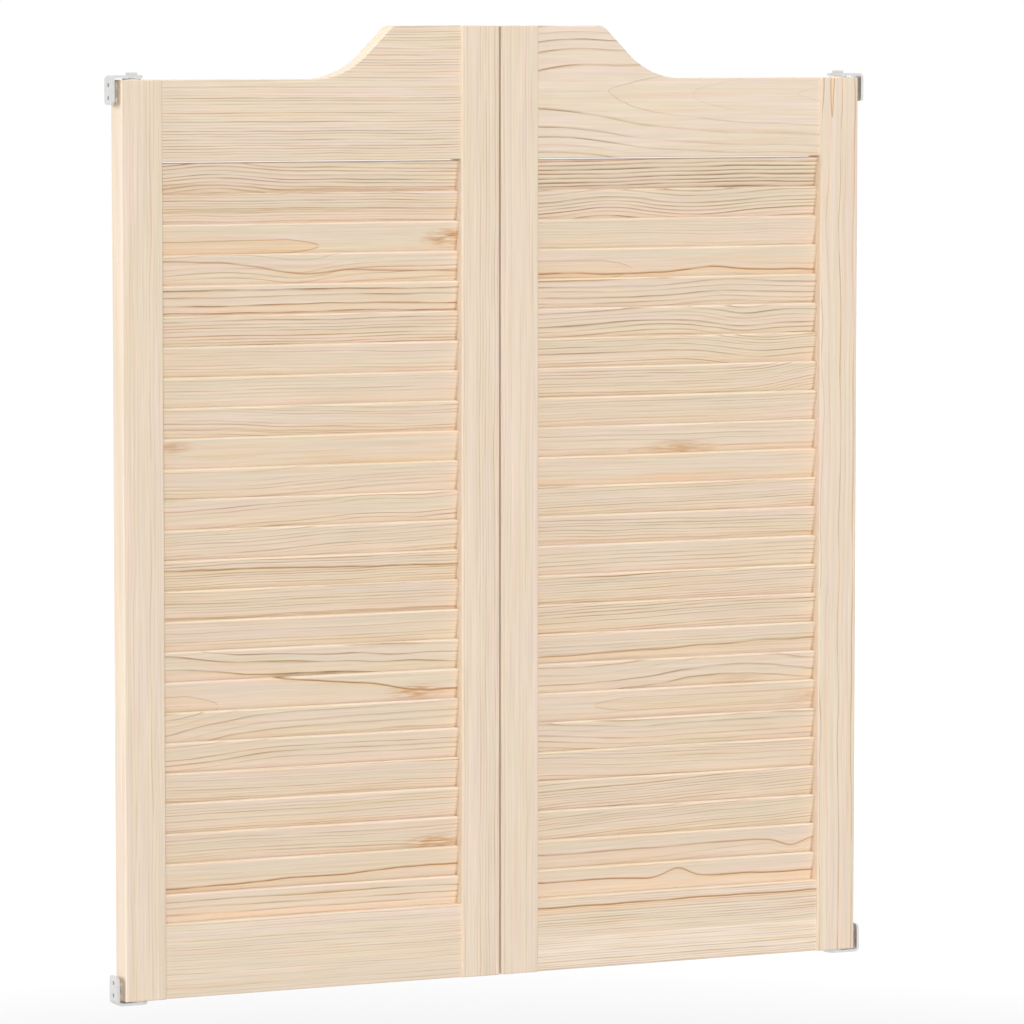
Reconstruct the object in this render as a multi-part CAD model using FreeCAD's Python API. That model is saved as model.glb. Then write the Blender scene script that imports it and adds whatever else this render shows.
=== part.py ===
import FreeCAD, Part
import math
import os
from FreeCAD import Vector

# A pair of louvred cafe doors: two double-acting leaves that hang on concealed spring pivots.
# Frame: x = 0 is the line where the leaves meet, y = 0 is the middle of their thickness with the
# front towards -Y, and z = 0 is the underside of the lower jamb brackets. Lengths are millimetres.

# Leaves
leaf_width = 449.0             # one leaf, outer edge to meeting edge
leaf_low_height = 1008.0       # at the outer stile
leaf_rise = 59.0               # from there up to the top of the meeting stile
meeting_gap = 2.0              # between the two leaves

# Stiles and rails
outer_stile_width = 47.5
meeting_stile_width = 46.0
stile_thickness = 32.0
stile_arris_radius = 1.5       # along the four long edges
stile_end_chamfer = 0.8        # round both ends
rail_thickness = 26.0          # the rails stand back from the stiles on both faces
rail_arris_radius = 1.5
top_rail_low_depth = 89.0      # at the outer stile
bottom_rail_depth = 83.0

# Ogee that carries the top rail from the high end down to the low end
ogee_start = 121.5             # from the meeting edge
shoulder_radius = 15.0         # convex, at the high end
hollow_radius = 92.0           # concave, at the low end
ramp_angle = 45.0              # of the straight run between the two

# Louvres: slats with rounded arrises, upper edge forward, housed in stopped grooves in the stiles
slat_count = 25
slats_per_node = 2
slat_width = 44.0
slat_thickness = 6.0
slat_arris_radius = 1.5        # along the four long edges
slat_tilt = 15.0               # from upright
slat_head_gap = 1.2            # between the top rail and the first slat
slat_groove_depth = 6.0
slat_groove_clearance = 0.15
slat_end_play = 0.5

# Dowels that pin the rails to the stiles
dowel_diameter = 8.0
dowel_in_stile = 16.0
dowel_in_rail = 24.0
dowel_chamfer = 0.8
dowel_end_play = 0.5
dowel_clearance = 0.1
dowel_edge_margin = 24.0       # from a rail's edge to the dowel beside it
dowel_louvre_margin = 14.0     # from the lowest slat's groove down to the dowel under it

# Pivots
axis_inset = 18.0              # hinge axis in from the leaf's outer edge
pivot_diameter = 8.0
running_clearance = 0.05       # radial, between a pivot and its bush
fit_clearance = 0.15           # radial or sideways, between pieces that don't turn on each other

# Jamb brackets, pressed from strip
bracket_sheet = 3.0
bracket_width = 24.0
bracket_leg = 32.0
bracket_bend_radius = 2.0      # inside the bend
bracket_corner_radius = 5.0
jamb_gap = 9.0                 # leaf's outer edge to the jamb
jamb_screw_hole = 4.5
jamb_screw_head = 8.0          # countersink, 90 degrees
jamb_screw_spacing = 14.0
jamb_screw_end_margin = 7.5    # from the leg's free end to the nearer hole

# Lower spring pivot, let into the outer stile's bottom end
shank_square = 5.6             # spindle's square in the bracket arm
rivet_head_depth = 1.2
housing_outer_diameter = 19.0
housing_inner_diameter = 16.4
housing_length = 58.0
flange_length = 40.0
flange_width = 24.0
flange_thickness = 2.0
flange_corner_radius = 4.0
flange_edge_inset = 3.0        # from the leaf's outer edge
cap_thickness = 4.0
spindle_reach = 0.5            # spindle's top below the top of the cap
spindle_tip_chamfer = 1.0
lower_bush_diameter = 11.0
lower_bush_length = 9.0
bush_flange_diameter = 20.0
bush_flange_thickness = 1.5
housing_screw_diameter = 3.5
housing_screw_head = 7.0
housing_screw_length = 16.0
housing_screw_spacing = 13.0
housing_screw_inset = 36.0     # from the leaf's outer edge
cross_slot_width = 1.0
cross_slot_length = 3.6
cross_slot_depth = 1.4

# Torsion spring of square wire that brings the leaf back to closed
spring_wire = 2.4
spring_mean_diameter = 13.0
spring_turns = 8
spring_foot_height = 14.0      # lower tang above the leaf's bottom
spring_head_room = 2.0         # between the coil and the cap
tang_hole_diameter = 3.7
tang_tip_gap = 1.0             # tangs stop short of the far side of their holes

# Upper pivot
upper_play = 0.5               # between the upper bush and its bracket
upper_bush_diameter = 12.0
upper_bush_length = 30.0
upper_pin_length = 26.0        # in the bush
pin_head_diameter = 13.0
pin_head_height = 3.0
pin_head_chamfer = 0.8
hex_socket = 5.0               # across flats
hex_socket_depth = 2.2
bore_end_room = 1.0            # between a bore's blind end and what stands in it

# Levels and places that follow from the sizes above, on the right-hand leaf
leaf_bottom = bracket_sheet + bush_flange_thickness
leaf_high_height = leaf_low_height + leaf_rise
low_top = leaf_bottom + leaf_low_height
high_top = leaf_bottom + leaf_high_height
louvre_top = low_top - top_rail_low_depth
louvre_bottom = leaf_bottom + bottom_rail_depth
slat_pitch = (louvre_top - louvre_bottom) / slat_count
meeting_edge = meeting_gap / 2
outer_edge = meeting_edge + leaf_width
rail_start = meeting_edge + meeting_stile_width
rail_end = outer_edge - outer_stile_width
pivot_x = outer_edge - axis_inset
jamb_x = outer_edge + jamb_gap
pivot_radius = pivot_diameter / 2
upper_arm_bottom = low_top + bush_flange_thickness + upper_play

slat_sin = math.sin(math.radians(slat_tilt))
slat_cos = math.cos(math.radians(slat_tilt))
slat_half_rise = (
    (slat_width / 2 - slat_arris_radius) * slat_cos
    + (slat_thickness / 2 - slat_arris_radius) * slat_sin
    + slat_arris_radius)
first_slat_head = louvre_top - slat_head_gap
lowest_slat_foot = first_slat_head - (slat_count - 1) * slat_pitch - 2 * slat_half_rise

bottom_dowel_levels = [
    leaf_bottom + dowel_edge_margin,
    lowest_slat_foot - dowel_louvre_margin,
]
top_dowel_levels_low_end = [
    louvre_top + dowel_edge_margin,
    low_top - dowel_edge_margin,
]
top_dowel_levels_high_end = [
    louvre_top + dowel_edge_margin,
    (louvre_top + high_top) / 2,
    high_top - dowel_edge_margin,
]

X_AXIS = Vector(1, 0, 0)
Y_AXIS = Vector(0, 1, 0)
Z_AXIS = Vector(0, 0, 1)


# ---------------------------------------------------------------- helpers

def closed_face(edges):
    """Flat face inside a closed run of edges."""
    return Part.Face(Part.Wire(edges))


def polygon_face(points):
    """Flat face inside a closed polygon."""
    return Part.Face(Part.makePolygon(points + points[:1]))


def line(a, b):
    return Part.LineSegment(a, b).toShape()


def arc(a, through, b):
    return Part.Arc(a, through, b).toShape()


def cylinder(diameter, length, base, direction=Z_AXIS):
    return Part.makeCylinder(diameter / 2, length, base, direction)


def turned(profile, x):
    """Solid turned about the upright line at x from (radius, height) points of half its section."""
    face = polygon_face([Vector(x + radius, 0, z) for radius, z in profile])
    return face.revolve(Vector(x, 0, 0), Z_AXIS, 360)


def rounded_plate(length, width, radius, height, corner):
    """Flat plate with rounded corners, lowest corner of its box at the given point."""
    plate = Part.makeBox(length, width, height, corner)
    upright = [edge for edge in plate.Edges if is_upright(edge)]
    return plate.makeFillet(radius, upright)


def is_upright(edge):
    box = edge.BoundBox
    return box.XLength < 1e-6 and box.YLength < 1e-6


def lies_at_height(edge, z):
    box = edge.BoundBox
    return abs(box.ZMin - z) < 1e-6 and abs(box.ZMax - z) < 1e-6


def mirrored(shape):
    """The left-hand leaf's piece."""
    return shape.mirror(Vector(0, 0, 0), X_AXIS)


def turned_about(shape):
    """The same piece of hardware, turned half round on to the left-hand side."""
    copy = shape.copy()
    copy.rotate(Vector(0, 0, 0), Z_AXIS, 180)
    return copy


# ---------------------------------------------------------------- joinery

def slat_bar(start, length, head, growth=0.0):
    """Tilted bar of the slat's section, with its long arrises rounded and its top at the height head."""
    width = slat_width + 2 * growth
    thickness = slat_thickness + 2 * growth
    bar = Part.makeBox(length, thickness, width, Vector(start, -thickness / 2, -width / 2))
    arrises = [edge for edge in bar.Edges if edge.BoundBox.XLength > length / 2]
    bar = bar.makeFillet(slat_arris_radius + growth, arrises)
    bar.rotate(Vector(0, 0, 0), X_AXIS, slat_tilt)
    bar.translate(Vector(0, 0, head - slat_half_rise))
    return bar


def slat_head(number):
    return first_slat_head - number * slat_pitch


def slat_grooves(start, length):
    """One stopped groove for each slat's end, all along one stile."""
    return [
        slat_bar(start, length, slat_head(number), slat_groove_clearance)
        for number in range(slat_count)
    ]


def slat(number):
    reach = slat_groove_depth - slat_end_play
    length = rail_end - rail_start + 2 * reach
    return slat_bar(rail_start - reach, length, slat_head(number))


def dowel_bores(joint_x, into_stile, levels):
    """Bores on both sides of a stile's inner edge; into_stile is the way from rail to stile."""
    towards_stile = Vector(into_stile, 0, 0)
    diameter = dowel_diameter + 2 * dowel_clearance
    length = dowel_in_stile + dowel_in_rail
    start = joint_x - into_stile * dowel_in_rail
    return [cylinder(diameter, length, Vector(start, 0, z), towards_stile) for z in levels]


def dowel(joint_x, into_stile, z):
    towards_stile = Vector(into_stile, 0, 0)
    start = joint_x - into_stile * (dowel_in_rail - dowel_end_play)
    length = dowel_in_stile + dowel_in_rail - 2 * dowel_end_play
    peg = cylinder(dowel_diameter, length, Vector(start, 0, z), towards_stile)
    rims = [edge for edge in peg.Edges if edge.BoundBox.XLength < 1e-6]
    return peg.makeChamfer(dowel_chamfer, rims)


def stile_blank(start, width, height):
    """Planed stile: long edges rounded, both ends eased."""
    blank = Part.makeBox(
        width, stile_thickness, height, Vector(start, -stile_thickness / 2, leaf_bottom))
    blank = blank.makeFillet(stile_arris_radius, [edge for edge in blank.Edges if is_upright(edge)])
    ends = [
        edge for edge in blank.Edges
        if lies_at_height(edge, leaf_bottom) or lies_at_height(edge, leaf_bottom + height)
    ]
    return blank.makeChamfer(stile_end_chamfer, ends)


def meeting_stile():
    stile = stile_blank(meeting_edge, meeting_stile_width, leaf_high_height)
    levels = bottom_dowel_levels + top_dowel_levels_high_end
    cuts = dowel_bores(rail_start, -1, levels)
    cuts += slat_grooves(rail_start - slat_groove_depth, 2 * slat_groove_depth)
    return stile.cut(cuts)


def outer_stile():
    stile = stile_blank(rail_end, outer_stile_width, leaf_low_height)
    levels = bottom_dowel_levels + top_dowel_levels_low_end
    cuts = dowel_bores(rail_end, 1, levels)
    cuts += slat_grooves(rail_end - slat_groove_depth, 2 * slat_groove_depth)
    cuts += [housing_recess(), upper_bush_bore()]
    cuts += [
        cylinder(housing_screw_diameter + 2 * fit_clearance, housing_screw_length + bore_end_room, place)
        for place in housing_screw_places()
    ]
    return stile.cut(cuts)


def top_rail_outline():
    """Front outline of the top rail in the plane of its front face."""
    y = -rail_thickness / 2
    angle = math.radians(ramp_angle)
    shoulder_drop = shoulder_radius * (1 - math.cos(angle))
    hollow_drop = hollow_radius * (1 - math.cos(angle))
    ramp_drop = leaf_rise - shoulder_drop - hollow_drop
    ramp_run = ramp_drop / math.tan(angle)

    shoulder_x = meeting_edge + ogee_start
    ramp_top_x = shoulder_x + shoulder_radius * math.sin(angle)
    ramp_foot_x = ramp_top_x + ramp_run
    hollow_x = ramp_foot_x + hollow_radius * math.sin(angle)

    shoulder = Vector(shoulder_x, y, high_top)
    ramp_top = Vector(ramp_top_x, y, high_top - shoulder_drop)
    ramp_foot = Vector(ramp_foot_x, y, low_top + hollow_drop)
    hollow = Vector(hollow_x, y, low_top)
    half_sin = math.sin(angle / 2)
    half_cos = math.cos(angle / 2)
    shoulder_middle = Vector(
        shoulder_x + shoulder_radius * half_sin, y, high_top - shoulder_radius * (1 - half_cos))
    hollow_middle = Vector(
        hollow_x - hollow_radius * half_sin, y, low_top + hollow_radius * (1 - half_cos))

    high_corner = Vector(rail_start, y, high_top)
    low_corner = Vector(rail_end, y, low_top)
    foot_outer = Vector(rail_end, y, louvre_top)
    foot_inner = Vector(rail_start, y, louvre_top)
    return closed_face([
        line(high_corner, shoulder),
        arc(shoulder, shoulder_middle, ramp_top),
        line(ramp_top, ramp_foot),
        arc(ramp_foot, hollow_middle, hollow),
        line(hollow, low_corner),
        line(low_corner, foot_outer),
        line(foot_outer, foot_inner),
        line(foot_inner, high_corner),
    ])


def ease_rail(rail):
    """Round the rail's long arrises on both faces; its ends stay square against the stiles."""
    front_and_back = (-rail_thickness / 2, rail_thickness / 2)
    arrises = [
        edge for edge in rail.Edges
        if edge.BoundBox.YLength < 1e-6
        and edge.BoundBox.XLength > 1e-6
        and any(abs(edge.BoundBox.YMin - y) < 1e-6 for y in front_and_back)
    ]
    return rail.makeFillet(rail_arris_radius, arrises)


def top_rail():
    rail = ease_rail(top_rail_outline().extrude(Vector(0, rail_thickness, 0)))
    cuts = dowel_bores(rail_start, -1, top_dowel_levels_high_end)
    cuts += dowel_bores(rail_end, 1, top_dowel_levels_low_end)
    return rail.cut(cuts)


def bottom_rail():
    """The lowest slat's foot is housed in a groove along the rail's upper edge."""
    length = rail_end - rail_start
    blank = Part.makeBox(
        length, rail_thickness, bottom_rail_depth, Vector(rail_start, -rail_thickness / 2, leaf_bottom))
    groove_length = length + 2 * slat_groove_depth
    cuts = [slat_bar(
        rail_start - slat_groove_depth, groove_length, slat_head(slat_count - 1), slat_groove_clearance)]
    cuts += dowel_bores(rail_start, -1, bottom_dowel_levels)
    cuts += dowel_bores(rail_end, 1, bottom_dowel_levels)
    return ease_rail(blank).cut(cuts)


def dowels():
    pegs = [dowel(rail_start, -1, z) for z in bottom_dowel_levels + top_dowel_levels_high_end]
    pegs += [dowel(rail_end, 1, z) for z in bottom_dowel_levels + top_dowel_levels_low_end]
    return Part.makeCompound(pegs)


# ---------------------------------------------------------------- jamb brackets

def strip_profile():
    """Section of the bent strip: arm along the leaf's end, leg up the jamb."""
    arm_start = pivot_x - bracket_width / 2
    inner = bracket_bend_radius
    outer = bracket_bend_radius + bracket_sheet
    bend = Vector(jamb_x - outer, 0, outer)
    diagonal = math.sqrt(0.5)
    return closed_face([
        line(Vector(arm_start, 0, 0), Vector(bend.x, 0, 0)),
        arc(
            Vector(bend.x, 0, 0),
            Vector(bend.x + outer * diagonal, 0, bend.z - outer * diagonal),
            Vector(jamb_x, 0, bend.z)),
        line(Vector(jamb_x, 0, bend.z), Vector(jamb_x, 0, bracket_leg)),
        line(Vector(jamb_x, 0, bracket_leg), Vector(jamb_x - bracket_sheet, 0, bracket_leg)),
        line(Vector(jamb_x - bracket_sheet, 0, bracket_leg), Vector(jamb_x - bracket_sheet, 0, bend.z)),
        arc(
            Vector(jamb_x - bracket_sheet, 0, bend.z),
            Vector(bend.x + inner * diagonal, 0, bend.z - inner * diagonal),
            Vector(bend.x, 0, bracket_sheet)),
        line(Vector(bend.x, 0, bracket_sheet), Vector(arm_start, 0, bracket_sheet)),
        line(Vector(arm_start, 0, bracket_sheet), Vector(arm_start, 0, 0)),
    ])


def jamb_screw_levels():
    upper = bracket_leg - jamb_screw_end_margin
    return [upper - jamb_screw_spacing, upper]


def jamb_screw_hole_cut(z):
    """Countersunk hole through the leg, its head towards the leaf."""
    face_x = jamb_x - bracket_sheet
    hole = cylinder(jamb_screw_hole, bracket_sheet, Vector(face_x, 0, z), X_AXIS)
    sink_depth = (jamb_screw_head - jamb_screw_hole) / 2
    sink = Part.makeCone(jamb_screw_head / 2, jamb_screw_hole / 2, sink_depth, Vector(face_x, 0, z), X_AXIS)
    return hole.fuse(sink)


def bracket_blank():
    """Bent strip with a round-ended arm under the leaf and two countersunk holes in its leg."""
    strip = strip_profile().extrude(Vector(0, bracket_width, 0))
    strip.translate(Vector(0, -bracket_width / 2, 0))

    nose = cylinder(bracket_width, bracket_sheet, Vector(pivot_x, 0, 0))
    behind_axis = Part.makeBox(
        jamb_x - pivot_x, bracket_width, bracket_leg, Vector(pivot_x, -bracket_width / 2, 0))
    bracket = strip.common(nose.fuse(behind_axis))

    corners = [
        edge for edge in bracket.Edges
        if lies_at_height(edge, bracket_leg) and edge.BoundBox.YLength < 1e-6
    ]
    bracket = bracket.makeFillet(bracket_corner_radius, corners)
    return bracket.cut([jamb_screw_hole_cut(z) for z in jamb_screw_levels()])


def square_prism(side, length, x, z):
    return Part.makeBox(side, side, length, Vector(x - side / 2, -side / 2, z))


def rivet_cone(growth):
    """Flush rivet head under the arm; growth widens it into the countersink that it fills."""
    foot = pivot_radius + growth
    neck = shank_square / 2 + growth
    return Part.makeCone(foot, neck, rivet_head_depth + growth, Vector(pivot_x, 0, 0), Z_AXIS)


def lower_bracket():
    hole = square_prism(shank_square + 2 * fit_clearance, bracket_sheet, pivot_x, 0)
    return bracket_blank().cut([hole, rivet_cone(fit_clearance)])


def upper_bracket():
    """The lower bracket's blank turned over, with a round hole for the pin."""
    bracket = bracket_blank()
    bracket.rotate(Vector(0, 0, 0), X_AXIS, 180)
    bracket.translate(Vector(0, 0, upper_arm_bottom + bracket_sheet))
    hole = cylinder(pivot_diameter + 2 * fit_clearance, bracket_sheet, Vector(pivot_x, 0, upper_arm_bottom))
    return bracket.cut(hole)


# ---------------------------------------------------------------- lower spring pivot

def housing_top():
    return leaf_bottom + housing_length


def spring_foot():
    return leaf_bottom + spring_foot_height


def tang_hole(z, reach):
    """Cross hole in the spindle, centred on the axis."""
    return cylinder(tang_hole_diameter, 2 * reach, Vector(pivot_x - reach, 0, z), X_AXIS)


def lower_spindle():
    """Square shank riveted in the arm, round above it, up through the spring to the cap."""
    top = housing_top() - spindle_reach
    chamfer = spindle_tip_chamfer
    shaft = turned([
        (0, bracket_sheet),
        (pivot_radius, bracket_sheet),
        (pivot_radius, top - chamfer),
        (pivot_radius - chamfer, top),
        (0, top),
    ], pivot_x)
    shank = square_prism(shank_square, bracket_sheet, pivot_x, 0)
    spindle = shaft.fuse([shank, rivet_cone(0)])
    return spindle.cut(tang_hole(spring_foot(), pivot_diameter))


def flange_plate(growth, height):
    length = flange_length + 2 * growth
    width = flange_width + 2 * growth
    inner_end = outer_edge - flange_edge_inset - flange_length - growth
    corner = Vector(inner_end, -width / 2, leaf_bottom)
    return rounded_plate(length, width, flange_corner_radius + growth, height, corner)


def housing_recess():
    """Room in the stile's bottom end for the housing and its flange."""
    diameter = housing_outer_diameter + 2 * fit_clearance
    bore = cylinder(diameter, housing_length + bore_end_room, Vector(pivot_x, 0, leaf_bottom))
    return bore.fuse(flange_plate(fit_clearance, flange_thickness))


def housing_screw_places():
    x = outer_edge - housing_screw_inset
    return [
        Vector(x, -housing_screw_spacing / 2, leaf_bottom),
        Vector(x, housing_screw_spacing / 2, leaf_bottom),
    ]


def spring_housing():
    """Tube closed below by a flange let in flush; the bush stands in the flange's hole."""
    tube = cylinder(housing_outer_diameter, housing_length, Vector(pivot_x, 0, leaf_bottom))
    body = tube.fuse(flange_plate(0, flange_thickness))
    hollow_bottom = leaf_bottom + flange_thickness
    cuts = [
        cylinder(
            housing_inner_diameter, housing_length - flange_thickness, Vector(pivot_x, 0, hollow_bottom)),
        cylinder(
            lower_bush_diameter + 2 * fit_clearance, flange_thickness, Vector(pivot_x, 0, leaf_bottom)),
    ]
    sink_depth = (housing_screw_head - housing_screw_diameter) / 2
    for place in housing_screw_places():
        cuts.append(cylinder(housing_screw_diameter + 2 * fit_clearance, flange_thickness, place))
        cuts.append(Part.makeCone(
            housing_screw_head / 2 + fit_clearance,
            housing_screw_diameter / 2 + fit_clearance,
            sink_depth, place, Z_AXIS))
    return body.cut(cuts)


def housing_screw(place):
    """Countersunk screw with a crossed slot."""
    sink_depth = (housing_screw_head - housing_screw_diameter) / 2
    head = Part.makeCone(housing_screw_head / 2, housing_screw_diameter / 2, sink_depth, place, Z_AXIS)
    shank_length = housing_screw_length - sink_depth - housing_screw_diameter
    shank = cylinder(housing_screw_diameter, shank_length, place + Vector(0, 0, sink_depth))
    point = Part.makeCone(
        housing_screw_diameter / 2, 0, housing_screw_diameter,
        place + Vector(0, 0, sink_depth + shank_length), Z_AXIS)
    slots = [
        Part.makeBox(
            length, width, cross_slot_depth, place - Vector(length / 2, width / 2, 0))
        for length, width in (
            (cross_slot_length, cross_slot_width),
            (cross_slot_width, cross_slot_length))
    ]
    return head.fuse([shank, point]).cut(slots)


def housing_screws():
    return Part.makeCompound([housing_screw(place) for place in housing_screw_places()])


def flanged_bush(outer_diameter, length, seat, side):
    """Bush with its sleeve in the leaf and its flange on the leaf's end; side is 1 above, -1 below."""
    bore = pivot_radius + running_clearance
    sleeve = outer_diameter / 2
    rim = bush_flange_diameter / 2
    return turned([
        (bore, seat - side * length),
        (sleeve, seat - side * length),
        (sleeve, seat),
        (rim, seat),
        (rim, seat + side * bush_flange_thickness),
        (bore, seat + side * bush_flange_thickness),
    ], pivot_x)


def lower_bush():
    return flanged_bush(lower_bush_diameter, lower_bush_length, leaf_bottom, -1)


def housing_cap():
    """Disc in the housing's top that steadies the spindle; its notch holds the spring's upper tang."""
    bottom = housing_top() - cap_thickness
    radius = housing_inner_diameter / 2 - running_clearance
    disc = turned([
        (pivot_radius + running_clearance, bottom),
        (radius, bottom),
        (radius, housing_top()),
        (pivot_radius + running_clearance, housing_top()),
    ], pivot_x)
    notch_x = pivot_x + spring_mean_diameter / 2
    return disc.cut(cylinder(tang_hole_diameter, cap_thickness, Vector(notch_x, 0, bottom)))


def torsion_spring():
    """Coil of square wire: lower tang in the spindle's cross hole, upper tang in the cap."""
    radius = spring_mean_diameter / 2
    half = spring_wire / 2
    section = Part.makePolygon([
        Vector(radius - half, 0, -half),
        Vector(radius + half, 0, -half),
        Vector(radius + half, 0, half),
        Vector(radius - half, 0, half),
        Vector(radius - half, 0, -half),
    ])
    coil_top = housing_length - cap_thickness - spring_head_room - half - spring_foot_height
    helix = Part.makeHelix(coil_top / spring_turns, coil_top, radius)
    coil = Part.Wire(helix.Edges).makePipeShell([section], True, True)

    inner_end = tang_tip_gap - pivot_radius
    lower_tang = Part.makeBox(
        radius + half - inner_end, spring_wire, spring_wire, Vector(inner_end, -half, -half))
    tang_top = housing_length - spring_foot_height - tang_tip_gap
    upper_tang = square_prism(spring_wire, tang_top - coil_top + half, radius, coil_top - half)
    spring = coil.fuse([lower_tang, upper_tang])
    spring.translate(Vector(pivot_x, 0, spring_foot()))
    return spring


# ---------------------------------------------------------------- upper pivot

def upper_bush_bore():
    diameter = upper_bush_diameter + 2 * fit_clearance
    depth = upper_bush_length + bore_end_room
    return cylinder(diameter, depth, Vector(pivot_x, 0, low_top - depth))


def upper_bush():
    return flanged_bush(upper_bush_diameter, upper_bush_length, low_top, 1)


def upper_pin():
    """Shouldered pin dropped through the bracket into the bush, with a hexagon socket in its head."""
    seat = upper_arm_bottom + bracket_sheet
    head = pin_head_diameter / 2
    tip = low_top - upper_pin_length
    pin = turned([
        (0, tip),
        (pivot_radius - spindle_tip_chamfer, tip),
        (pivot_radius, tip + spindle_tip_chamfer),
        (pivot_radius, seat),
        (head, seat),
        (head, seat + pin_head_height - pin_head_chamfer),
        (head - pin_head_chamfer, seat + pin_head_height),
        (0, seat + pin_head_height),
    ], pivot_x)
    corner = hex_socket / math.sqrt(3)
    floor = seat + pin_head_height - hex_socket_depth
    corners = [
        Vector(
            pivot_x + corner * math.cos(math.radians(60 * k)),
            corner * math.sin(math.radians(60 * k)),
            floor)
        for k in range(6)
    ]
    return pin.cut(polygon_face(corners).extrude(Vector(0, 0, hex_socket_depth)))


# ---------------------------------------------------------------- assembly

def slat_groups():
    """Slats in groups of neighbours, each group one node of separate solids."""
    groups = {}
    for first in range(0, slat_count, slats_per_node):
        numbers = range(first, min(first + slats_per_node, slat_count))
        label = "_".join("%02d" % (number + 1) for number in numbers)
        stem = "louvre_slats_" if len(numbers) > 1 else "louvre_slat_"
        groups[stem + label] = Part.makeCompound([slat(number) for number in numbers])
    return groups


def right_hand_joinery():
    pieces = {
        "outer_stile": outer_stile(),
        "meeting_stile": meeting_stile(),
        "top_rail": top_rail(),
        "bottom_rail": bottom_rail(),
        "dowels": dowels(),
    }
    pieces.update(slat_groups())
    return pieces


def right_hand_hardware():
    return {
        "lower_bracket": lower_bracket(),
        "upper_bracket": upper_bracket(),
        "lower_spindle": lower_spindle(),
        "upper_pin": upper_pin(),
        "spring_housing": spring_housing(),
        "housing_cap": housing_cap(),
        "housing_screws": housing_screws(),
        "torsion_spring": torsion_spring(),
        "lower_bush": lower_bush(),
        "upper_bush": upper_bush(),
    }


def main():
    os.makedirs("parts", exist_ok=True)
    for name, shape in right_hand_joinery().items():
        shape.exportStep("parts/right_%s.step" % name)
        mirrored(shape).exportStep("parts/left_%s.step" % name)
    for name, shape in right_hand_hardware().items():
        shape.exportStep("parts/right_%s.step" % name)
        turned_about(shape).exportStep("parts/left_%s.step" % name)


main()
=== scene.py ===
"""A pair of louvred cafe doors in bare pine: the finish of every piece, the light and the camera."""
import math
import random
from collections import namedtuple

import bpy
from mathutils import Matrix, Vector

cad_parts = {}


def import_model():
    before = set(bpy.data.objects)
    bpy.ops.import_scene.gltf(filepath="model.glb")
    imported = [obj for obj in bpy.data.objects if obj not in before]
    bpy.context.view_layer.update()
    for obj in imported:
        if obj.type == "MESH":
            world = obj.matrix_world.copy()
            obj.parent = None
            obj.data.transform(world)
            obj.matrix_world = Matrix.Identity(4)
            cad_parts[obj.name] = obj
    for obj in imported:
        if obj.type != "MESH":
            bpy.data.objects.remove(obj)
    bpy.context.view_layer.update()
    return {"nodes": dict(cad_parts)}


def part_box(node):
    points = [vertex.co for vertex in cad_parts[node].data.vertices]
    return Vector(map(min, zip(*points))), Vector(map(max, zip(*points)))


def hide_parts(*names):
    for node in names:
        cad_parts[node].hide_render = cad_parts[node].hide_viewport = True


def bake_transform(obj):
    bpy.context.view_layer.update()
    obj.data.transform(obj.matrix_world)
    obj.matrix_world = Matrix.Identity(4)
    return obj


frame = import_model()

SIDES = ("left", "right")
MILLIMETRES = 1000.0            # in a metre
AXES = {"X": (1, 0, 0), "Y": (0, 1, 0), "Z": (0, 0, 1)}
WHITE = (1.0, 1.0, 1.0, 1.0)

# Camera: to the left of the doors, level with the outer stiles' tops, looking slightly down
CAMERA_PLACE = Vector((-2.627, -5.817, 1.062))
CAMERA_TURN = math.radians(24.48)
CAMERA_DIP = math.radians(4.79)
CAMERA_LENS = 200.5             # millimetres, on a 36 mm sensor
CAMERA_SENSOR = 36.0
CAMERA_SIGHT = 100.0            # metres

# Studio
FLOOR_DROP = 0.30               # floor below the doors, which hang clear of it
FLOOR_SIZE = 60.0
FLOOR_GREY = 0.42
FLOOR_ROUGHNESS = 0.9
FLOOR_GLOW_NEAR = 0.43          # its own light, seen directly, under the doors
FLOOR_GLOW_FAR = 0.66           # and past the lamps' reach, where it meets the white distance
FLOOR_GLOW_START = 0.9          # metres from the doors
FLOOR_GLOW_END = 2.6
WORLD_LIGHT = 0.30

# Louvres
SLAT_COUNT = 25
LOUVRE_TILT = math.radians(15)  # from upright, upper edge forward
SLAT_THICKNESS = 0.006

# Angle above which an edge between two faces stays sharp
SHARP_EDGE = math.radians(35)
WELD_DISTANCE = 1e-6


# ---------------------------------------------------------------- node graphs

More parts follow.
